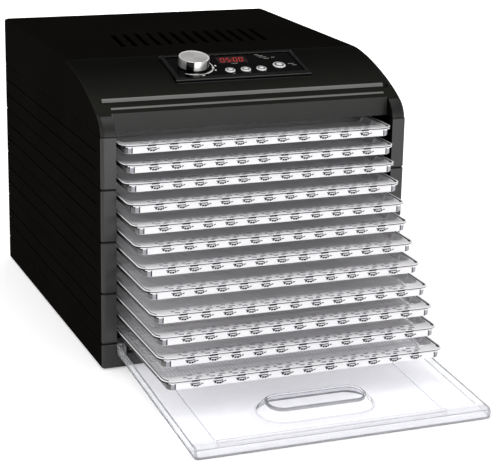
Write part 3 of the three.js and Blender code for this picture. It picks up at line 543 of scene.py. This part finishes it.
def printed(bm):
    """The scale round the dial and the plain marks beside the buttons, as ink on the face plate."""
    white, grey = PANEL_LOOKS.index("ink"), PANEL_LOOKS.index("ink_grey")
    low, high = FACE - 0.1, FACE + 0.06
    centre, radius = (KNOB[0] - 1.4, KNOB[1] + 1.0), 22.4
    for start, end, width in ((-22, 128, 1.0), (10, 22, 2.4), (36, 62, 2.1), (94, 116, 2.2)):
        annulus(bm, centre, radius, width, start, end, low, high, white)
    for angle, out in ((3, 25.6), (30, 25.6), (80, 25.4)):
        annulus(bm, centre, out, 1.9, angle - 3.2, angle + 3.2, low, high, white)
    # (x, distance down the slope, width, length) of the bars by the buttons, below the display, by the start
    # button, and in the list at the upper right
    for x, s, w, l in ((-8.4, 53.6, 2.6, 1.5), (10.0, 52.4, 2.6, 1.5), (28.2, 51.5, 2.6, 1.5), (1.0, 28.4, 7.6, 1.3),
                       (63.6, 36.6, 7.0, 1.3), (66.4, 40.4, 5.4, 1.3), (33.6, 8.4, 4.6, 1.6), (36.4, 12.0, 7.0, 1.6),
                       (38.6, 15.6, 8.0, 1.6), (41.4, 19.6, 6.4, 1.6), (49.8, 17.6, 4.0, 1.6)):
        strip(bm, (x, s), (w, l), low, high, grey)


# the lit strokes of two digits, a at the top and then clockwise with g across the middle, and where a stroke lies,
# in halves of the digit's width and height
SEGMENTS = {"0": "abcdef", "5": "acdfg"}
STROKES = {"a": (0, 1), "d": (0, -1), "g": (0, 0), "b": (1, 0.5), "c": (1, -0.5), "f": (-1, 0.5), "e": (-1, -0.5)}


def digits(bm):
    """Four plain digits and a colon, leaning to the right, just proud of the window."""
    low, high = FACE - 0.1, FACE + 0.05
    tall, wide, stroke, slope, middle, dot = 11.4, 5.0, 1.35, 0.17, 18.6, 2.4
    lit = DISPLAY_LOOKS.index("digits")
    for text, x in zip("0500", (-9.8, -3.2, 5.0, 11.6)):
        for key in SEGMENTS[text]:
            u, v = STROKES[key]
            level = v * (tall - stroke) / 2
            at = (x + u * (wide - stroke) / 2 + level * slope, middle - level)
            w, l = (wide - stroke * 1.2, stroke) if key in "adg" else (stroke, tall / 2 - stroke)
            strip(bm, at, (w, l), low, high, lit, l * slope)
    for v in (-dot, dot):
        strip(bm, (0.9 + v * slope, middle - v), (stroke, stroke), low, high, lit, stroke * slope)


def on_panel(detail):
    """Adds detail drawn in the panel's own frame to a mesh that is in the object's frame."""
    def add(bm):
        part = bmesh.new()
        detail(part)
        bmesh.ops.recalc_face_normals(part, faces=part.faces)
        bmesh.ops.scale(part, vec=(MM, MM, MM), verts=part.verts)
        bmesh.ops.transform(part, matrix=PANEL, verts=part.verts)
        bmesh.ops.scale(part, vec=(1 / MM, 1 / MM, 1 / MM), verts=part.verts)
        mesh = bpy.data.meshes.new("detail")
        part.to_mesh(mesh)
        part.free()
        bm.from_mesh(mesh)
        bpy.data.meshes.remove(mesh)
    return add


def frame_face(centre, normal):
    """The frame's top face is the glossiest."""
    return "face_black" if normal.z < 0.6 else "gloss_black"


def frame_edge(centre, normal):
    """The frame's front and right edges catch the light."""
    return "gloss_line" if normal.z > 0.3 and (normal.y < -0.4 or normal.x > 0.3) else "gloss_black"


def lower_edge_and_shadow(bm):
    """The lower edge of the frame, rounded over and carried down to the cover in black, which also stands in for the
    shadow gap below the frame as painted shadow; one facet is painted bright as a highlight.
    """
    outline = [(-62.0, -0.35), (-63.4, -0.7), (-64.8, -1.7), (-65.8, -3.2), (-66.3, -5.0), (-66.4, -7.5), (-58, -8.5),
               (-58, -1.5)]
    faces = add_prism(bm, outline, "x", -77.5, 77.5, FRAME_LOOKS.index("face_black"))
    # this facet is painted lighter: a painted highlight
    faces[3].material_index = FRAME_LOOKS.index("gloss_line")


def dial():
    """The knob: a wall streaked with painted reflections, a groove near its foot, a bright rim and a spun top just
    below it.
    """
    bm = bmesh.new()
    profile = [(0, -0.4), (16.2, -0.4), (16.8, 0.0), (16.9, 0.9), (16.5, 1.1), (16.5, 1.5), (16.9, 1.7),
               (16.75, 9.0), (16.5, 9.6), (16.0, 9.95), (15.2, 9.95), (14.8, 9.8), (14.5, 9.42), (0, 9.4)]
    for k, band in enumerate(turned(bm, profile, 64)):
        look = "knob_side" if k < 8 else "knob_rim" if k < 12 else "knob_top"
        for face in band:
            face.material_index = KNOB_LOOKS.index(look)
    ob = finished(bm, "knob_fine", KNOB_LOOKS, 30)
    ob.matrix_world = PANEL @ Matrix.Translation(Vector((KNOB[0], -KNOB[1], 0)) * MM)
    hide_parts("knob")
    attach(ob, "knob")


def button(name, x, s, radius):
    """A bright cap with a ring groove round a domed middle; the groove is painted darker, a painted shade."""
    bm = bmesh.new()
    rise = radius * 0.12
    profile = [(0, FACE - 2.4), (radius, FACE - 2.4), (radius, -0.6), (radius - 0.12, -0.3), (radius - 0.4, -0.05),
               (radius * 0.82, 0.12), (radius * 0.78, 0.08), (radius * 0.72, -0.3), (radius * 0.55, -0.3),
               (radius * 0.5, 0.3 * rise + 0.1), (radius * 0.4, 0.6 * rise + 0.1), (radius * 0.2, 0.9 * rise + 0.1),
               (0, rise + 0.1)]
    for k, band in enumerate(turned(bm, profile, 36)):
        for face in band:
            face.material_index = CAP_LOOKS.index("cap_groove" if k in (6, 7, 8) else "cap")
    ob = finished(bm, name + "_fine", CAP_LOOKS, 40)
    ob.matrix_world = PANEL @ Matrix.Translation(Vector((x, -s, 0)) * MM)
    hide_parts(name)
    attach(ob, name)


refined("control_bezel", 0.45, FRAME_LOOKS, frame_face, edge=frame_edge, extra=on_panel(lower_edge_and_shadow))
refined("control_panel", 0.12, PANEL_LOOKS, plain("face_black"), extra=on_panel(printed))
refined("display_window", 0.1, DISPLAY_LOOKS, plain("display"), extra=on_panel(digits))
dial()
for name, x, s, radius in BUTTONS:
    button(name, x, s, radius)


# ------------------------------------------------------------------ door
HINGE_AT = Vector((0, -207, 23))  # from the middle of the housing
DOOR_REST = math.radians(3.695)  # below level at rest
DOOR = Matrix.Translation(HINGE_AT * MM + Vector((0, BY, 0))) @ Matrix.Rotation(DOOR_REST, 4, "X")
DOOR_HALF, DOOR_END = 154.4, -254.5  # half the width, and the free edge from the hinge axis
LOW, INNER, RIM_TOP = -6.5, -4.0, 4.45  # outer face, inner face and top of the rim, from the hinge axis
POCKET_AT, POCKET_HALF = (-4.5, -184.5), (62, 27)  # the grip pocket's middle and half sizes
DOOR_LOOKS = ("door", "door_edge", "door_line", "door_crease")
CLEAR, SOFT, LINE, CREASE = range(4)  # the places of those looks


def centred(x, y, half_x, half_y, radius, steps=8):
    """A rounded rectangle about (x, y)."""
    return [(x + u, y - half_y + v) for u, v in rounded(half_x, 2 * half_y, 0, radius, steps)]


def door_panel(bm):
    """The flat panel with its grip pocket: rings from the middle of the pocket out, round the edge and back."""
    def pocket(inset, z, look):
        w, l = POCKET_HALF[0] - inset, POCKET_HALF[1] - inset
        return ([(x, y, z) for x, y in centred(*POCKET_AT, w, l, max(l - 2, 2))], look)

    def edge(inset, z, look):
        long = (-1 - DOOR_END) / 2
        return ([(x, y, z) for x, y in centred(0, DOOR_END + long, DOOR_HALF - inset, long - inset, 7 - inset)], look)

    # the LINE and CREASE rings are painted darker: painted shade
    rings = [pocket(11.6, 7.0, LINE), pocket(10.9, 6.95, LINE), pocket(9.7, 6.5, SOFT), pocket(8.7, 5.7, SOFT),
             pocket(1.2, -3.2, CREASE), pocket(0.2, -3.9, CREASE), pocket(-0.4, -4.0, CLEAR), edge(0.8, INNER, LINE),
             edge(0.0, INNER - 0.5, SOFT), edge(0.0, LOW + 0.6, LINE), edge(0.7, LOW, CLEAR),
             pocket(2.0, LOW, CREASE), pocket(2.9, LOW + 0.5, SOFT), pocket(10.6, 3.1, LINE), pocket(11.6, 4.1, LINE),
             pocket(12.8, 4.5, CLEAR)]
    rows = [[bm.verts.new(point) for point in ring] for ring, look in rings]
    for band, (ring, look) in zip(skinned(bm, rows), rings):
        for face in band:
            face.material_index = look
    bm.faces.new(rows[0])
    bm.faces.new(list(reversed(rows[-1])))


def edged(bm, outline, axis, low, high, lined=True):
    """A clear prism whose narrow sloping facets are painted dark grey to look like lines, a painted shade for the dark
    line that light bent through a moulded edge shows.
    """
    for face in add_prism(bm, outline, axis, low, high):
        face.normal_update()
        slanted = sorted(abs(v) for v in face.normal)[1] > 0.3
        narrow = min(e.calc_length() for e in face.edges) < 1.25
        face.material_index = LINE if lined and slanted and narrow else SOFT


def door_rims(bm):
    """Side rims, the turned lip along the free edge, and the hinge ears."""
    for side in (-1, 1):
        rim = [(side * x, z) for x, z in ((152.4, INNER + 0.1), (154.35, INNER + 0.1), (154.35, 3.8),
                                          (153.8, RIM_TOP), (153.0, RIM_TOP), (152.4, 3.8))]
        edged(bm, rim, "y", DOOR_END + 5.0, -6.0)
        ear = [(6.4 * math.cos(a), 6.4 * math.sin(a)) for a in (math.radians(v) for v in range(-90, 46, 9))]
        edged(bm, ear + [(-2, RIM_TOP), (-14, RIM_TOP), (-14, LOW + 0.05)], "x",
              *sorted((side * 146.6, side * 154.3)), lined=False)
    lip = [(DOOR_END + y, z) for y, z in (
        (0.9, LOW + 0.05), (0.1, -5.6), (0.45, 0.6), (1.3, 2.9), (2.4, 3.9), (4.0, RIM_TOP), (14.2, RIM_TOP),
        (14.9, 3.8), (14.9, INNER + 0.1), (13.0, INNER + 0.1), (13.0, 2.3), (3.4, 2.3), (3.0, 1.6), (3.0, LOW + 0.05))]
    edged(bm, lip, "x", -DOOR_HALF + 2.2, DOOR_HALF - 2.2)
    end = [(y + 1.2 if y < DOOR_END + 5 else y, z - 0.3 if z > 0 else z) for y, z in lip[:9]]
    for side in (-1, 1):  # rounded ends of the lip
        edged(bm, end, "x", *sorted((side * (DOOR_HALF - 2.3), side * (DOOR_HALF - 0.2))))


def creases(bm):
    """Two low mould lines along the panel and one before the lip, painted a little grey as painted shade."""
    sides, along = (-125.0, 115.0), (DOOR_END + 15, -12.0)
    for at, axis, reach in ((sides[0], "y", along), (sides[1], "y", along), (DOOR_END + 22.1, "x", sides)):
        add_prism(bm, [(at - 0.6, INNER - 0.05), (at + 0.6, INNER - 0.05), (at + 0.2, INNER + 0.3),
                       (at - 0.2, INNER + 0.3)], axis, *reach, CREASE)


def door():
    """The door, built flat about its hinge axis and turned to where it rests."""
    bm = bmesh.new()
    for part in (door_panel, door_rims, creases):
        part(bm)
    ob = finished(bm, "door_fine", DOOR_LOOKS, 30)
    shaded_evenly(ob)
    ob.matrix_world = DOOR
    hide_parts("door")
    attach(ob, "door")


door()


# ------------------------------------------------------------------ trays
TRAY_HALF, TRAY_DEPTH, TRAY_RADIUS = 152.0, 312.0, 12.0
TRAY_LOOKS = ("tray", "tray_dark", "tray_side", "tray_corner")
BRIGHT, DARK, GREY, CORNER = range(4)  # the places of those looks
# (inset along the sides, inset at front and back, height) around the section through rim and wall
SECTION = ((0.5, 0.5, 6.9), (0.0, 0.0, 7.2), (0.0, 0.0, 7.7), (0.7, 0.7, 7.9), (0.7, 0.7, 8.8), (0.0, 0.0, 8.95),
           (0.0, 0.0, 9.3), (0.3, 0.3, 9.5), (1.5, 1.5, 9.5), (1.8, 1.8, 9.1), (2.0, 2.0, 8.7), (3.2, 7.0, 8.7),
           (4.4, 18.0, 8.6), (4.9, 18.6, 8.3), (6.2, 19.6, 2.6), (6.7, 20.0, 2.0), (8.4, 21.0, 1.9), (8.4, 21.0, 0.3),
           (8.0, 20.6, 0.0), (5.0, 2.0, 0.0), (4.4, 1.4, 0.5), (4.25, 1.3, 1.3), (4.2, 1.2, 4.9), (4.1, 1.1, 5.8),
           (3.8, 1.0, 6.9))
CURVE_STEPS = 10  # facets to each rounded corner
MESH_PITCH, FLOOR_INSET = 4.0, 7.4
HOOKS, HOOK_PITCH = 11, 23.8
FLOOR_Z, GUSSET_Z = 1.9, 8.2  # tops of the floor's heavy ribs and of the gussets
# the outlines repeated along the front and back, (x from the middle of a pitch, height): a dash in the rim's groove,
# then the strokes of a hook on the wall
DASH = ((-5.4, 7.3), (3.0, 7.3), (4.2, 9.1), (-4.2, 9.1))
HOOK = [((-6.2, 4.7), (3.6, 4.7), (4.0, 5.6), (-6.6, 5.6))] + [
    ((u - w / 2, v - 1.0), (u + w / 2, v - 0.7), (u + w / 2, v + 0.9), (u - w / 2, v + 0.7))
    for u, v, w in ((-4.2, 3.7, 1.9), (-1.6, 2.8, 2.1), (1.2, 2.6, 2.3), (3.6, 3.4, 1.3))] + [
    ((5.0, 3.4), (7.2, 4.0), (7.2, 4.8), (5.0, 4.2))]
# (distance in from the end, length, half width, x, look) of the marks on the ledge in each pitch
TOUCHES = ((3.2, 2.6, 2.2, 2.0, GREY), (4.0, 3.0, 2.6, -5.4, CORNER), (8.0, 3.4, 1.7, -9.0, CORNER),
           (7.4, 3.0, 3.0, 5.6, CORNER), (12.6, 3.0, 2.4, -2.4, CORNER), (13.4, 3.2, 1.7, 8.2, CORNER))


def ring_look(segment, column):
    """Dark where the clear section bends light away; painted shade along the sides, dark on the rim, the ledge and the
    top of the wall and dark grey lower on the wall, and grey on the curved walls at the corners; clear elsewhere.

    segment is the place along SECTION: 0 to 6 is the outside of the rim, with 3 the bottom of its groove, 9 to 12 the
    ledge and 20 to 23 the outer wall. column is the place around the tray.
    """
    corner, along = divmod(column, CURVE_STEPS + 1)
    straight = along == CURVE_STEPS
    on_side = straight and corner in (0, 2) or not straight and (along > CURVE_STEPS * 0.55) == (corner in (0, 2))
    if segment == 3 or (segment in (20, 21, 22, 23) and not straight and along in (0, CURVE_STEPS - 1)):
        return DARK
    if on_side and segment in (0, 1, 2, 4, 9, 10, 12, 22, 23):
        return DARK
    if on_side and segment in (20, 21):
        return GREY
    return CORNER if not straight and segment in (20, 21, 22) else BRIGHT


def tray_ring(bm):
    """Rim, walls and ledges, as one section carried around."""
    rows = [[bm.verts.new((x, y, z)) for x, y in rounded(TRAY_HALF, TRAY_DEPTH, side, TRAY_RADIUS, CURVE_STEPS, end)]
            for side, end, z in SECTION]
    for segment, band in enumerate(skinned(bm, rows + rows[:1])):
        for column, face in enumerate(band):
            face.material_index = ring_look(segment, column)


def tray_floor(bm):
    """Crossed bars with a heavier rib every few bars."""
    def bar(axis, reach, at, wide, low, high):
        c = wide * 0.3
        outline = [(at - wide / 2, low), (at + wide / 2, low), (at + wide / 2, high - c), (at + wide / 2 - c, high),
                   (at - wide / 2 + c, high), (at - wide / 2, high - c)]
        add_prism(bm, outline, axis, *reach)

    columns = int((TRAY_HALF - FLOOR_INSET - 2) // MESH_PITCH)
    for i in range(-columns, columns + 1):
        wide, low = (2.4, 0.0) if i % 6 == 0 else (1.3, 0.2)
        bar("y", (FLOOR_INSET, TRAY_DEPTH - FLOOR_INSET), i * MESH_PITCH, wide, low, 0.95)
    rows = int((TRAY_DEPTH - 2 * FLOOR_INSET - 4) // MESH_PITCH)
    start = TRAY_DEPTH / 2 - rows * MESH_PITCH / 2
    for i in range(rows + 1):
        wide, high = (2.4, FLOOR_Z) if i % 6 == 3 else (1.3, 1.6)
        bar("x", (-TRAY_HALF + FLOOR_INSET, TRAY_HALF - FLOOR_INSET), start + i * MESH_PITCH, wide, 0.95, high)


def tray_marks(bm, back):
    """Dashes, hooks and ledge marks along the front or the back, with a gusset inside the wall in each pitch."""
    def mark(outline, x, near, far, look=DARK):
        """An outline moved to x, pushed from near to far as measured in from the tray's end."""
        ends = (TRAY_DEPTH - far, TRAY_DEPTH - near) if back else (near, far)
        add_prism(bm, [(x + u, z) for u, z in outline], "y", *ends, look)

    for i in range(HOOKS):
        x = (i - (HOOKS - 1) / 2) * HOOK_PITCH
        mark(DASH, x, -0.04, 1.2)
        for stroke in HOOK:
            mark(stroke, x, 0.75, 2.4)
        for at, deep, wide, shift, look in TOUCHES:
            mark(((-wide, 8.4), (wide, 8.4), (wide, 8.85), (-wide, 8.85)), x + shift, at, at + deep, look)
        a, b = (TRAY_DEPTH - y if back else y for y in (18.4, 23.0))
        add_prism(bm, [(a, GUSSET_Z), (b, FLOOR_Z), (a, FLOOR_Z)], "x", x + 9.4, x + 10.8)


def side_gussets(bm):
    """Gussets inside the walls along both sides."""
    margin, half = 18, 0.7
    count = int((TRAY_DEPTH - 2 * margin) // HOOK_PITCH)
    for i in range(count + 1):
        y = margin + i * (TRAY_DEPTH - 2 * margin) / count
        for side in (-1, 1):
            outer, inner = side * (TRAY_HALF - 4.7), side * (TRAY_HALF - 9.5)
            add_prism(bm, [(outer, GUSSET_Z), (inner, FLOOR_Z), (outer, FLOOR_Z)], "y", y - half, y + half)


def trays():
    """Twelve objects that share one mesh, each on its own tray."""
    bm = bmesh.new()
    tray_ring(bm)
    tray_floor(bm)
    tray_marks(bm, False)
    tray_marks(bm, True)
    side_gussets(bm)
    ob = finished(bm, "tray_1_fine", TRAY_LOOKS)
    for k in range(1, 13):
        node = "tray_%d" % k
        if k > 1:
            ob = placed(node + "_fine", ob.data)
        low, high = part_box(node)
        ob.location = ((low.x + high.x) / 2, low.y, low.z)
        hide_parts(node)
        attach(ob, node)


trays()


# ------------------------------------------------------------------ stage, lights and camera
FLOOR_GLOW = 0.45  # how brightly the floor shines where it is seen, 1 being white
CAMERA_AT = Vector((-0.6179, -1.7573 + BY, 0.6265))
CAMERA_TURN = (21.585, 16.437, 1.126)  # to the right, down and rolled, in degrees
CAMERA_LENS, CAMERA_SENSOR = 117.46, 36  # in millimetres


def white_world():
    """White to the camera and through clear pieces; a low white backdrop and a dimmer room in reflections."""
    n = Nodes("studio", world=True)

    def background(strength):
        return n.add("ShaderNodeBackground", Color=(1, 1, 1, 1), Strength=strength)

    def mix(fac, first, second):
        node = n.add("ShaderNodeMixShader")
        for output, socket in zip((fac, first.outputs[0], second.outputs[0]), node.inputs):
            n.link(output, socket)
        return node

    path = n.add("ShaderNodeLightPath")
    seen = n.compute("MAXIMUM", path.outputs["Is Camera Ray"], path.outputs["Is Transmission Ray"])
    rise = n.span(n.split("Generated").outputs["Z"], From_Min=0.04, From_Max=0.14)
    cove = mix(rise, background(1.0), background(0.12))
    indirect = mix(path.outputs["Is Glossy Ray"], background(0.75), cove)
    scene.world = n.done(mix(seen, indirect, background(1.0)))


def floor():
    """A matt white plane that glows a little where it is seen, directly, through clear pieces or in reflections."""
    bpy.ops.mesh.primitive_plane_add(size=12, location=(0, 0, 0))
    plane = bpy.context.object
    plane.name = "floor"
    n = Nodes("floor_white")
    matt = n.principled(Base_Color=(0.86, 0.86, 0.86, 1), Roughness=0.9, Specular_IOR_Level=0.0)
    path = n.add("ShaderNodeLightPath")
    seen = n.compute("MAXIMUM", path.outputs["Is Camera Ray"], path.outputs["Is Transmission Ray"])
    reflected = n.compute("MULTIPLY", path.outputs["Is Glossy Ray"], 0.6)
    glow = n.add("ShaderNodeEmission")
    n.link(n.compute("MULTIPLY", n.compute("MAXIMUM", seen, reflected), FLOOR_GLOW), glow.inputs["Strength"])
    both = n.add("ShaderNodeAddShader")
    n.link(matt.outputs[0], both.inputs[0])
    n.link(glow.outputs[0], both.inputs[1])
    plane.data.materials.append(n.done(both))


def lamp(name, at, aim, size, level, tall=None, mirrored=True):
    """An area lamp that lights a surface facing it at the aim to the given level, 1 being white on white.

    mirrored is whether glossy surfaces reflect it.
    """
    way = Vector(aim) - Vector(at)
    data = bpy.data.lights.new(name, "AREA")
    data.shape = "RECTANGLE"
    data.size = size
    data.size_y = tall or size
    data.energy = level * math.pi ** 2 * way.length_squared
    ob = placed(name, data)
    ob.location = at
    ob.rotation_euler = way.to_track_quat("-Z", "Y").to_euler()
    ob.visible_camera = False
    ob.visible_glossy = mirrored


def camera():
    """The camera where the photograph was taken from."""
    yaw, pitch, roll = (math.radians(v) for v in CAMERA_TURN)
    fwd = Vector((math.sin(yaw) * math.cos(pitch), math.cos(yaw) * math.cos(pitch), -math.sin(pitch)))
    level = Vector((math.cos(yaw), -math.sin(yaw), 0))
    over = level.cross(fwd)
    right = math.cos(roll) * level + math.sin(roll) * over
    up = -math.sin(roll) * level + math.cos(roll) * over
    data = bpy.data.cameras.new("camera")
    data.sensor_width = CAMERA_SENSOR
    data.lens = CAMERA_LENS
    data.clip_start = 0.05
    ob = placed("camera", data)
    ob.matrix_world = Matrix.Translation(CAMERA_AT) @ Matrix((right, up, -fwd)).transposed().to_4x4()
    scene.camera = ob


white_world()
floor()
lamp("key", (0.5, -3.2, 0.42), (0, -0.1, 0.15), 1.8, 0.38, tall=0.5)
lamp("top", (0.1, -0.3, 2.4), (0, -0.2, 0.2), 1.8, 0.25)
lamp("left", (-2.6, 0.3, 0.5), (0, 0.1, 0.15), 1.4, 0.3, tall=0.5, mirrored=False)
lamp("right", (2.6, 0.9, 0.17), (0, 0.2, 0.15), 1.4, 0.8, tall=0.26, mirrored=False)
lamp("back", (1.3, 3.2, 0.16), (0, 0.3, 0.15), 1.4, 0.8, tall=0.26, mirrored=False)
camera()
scene.view_settings.view_transform = "Standard"
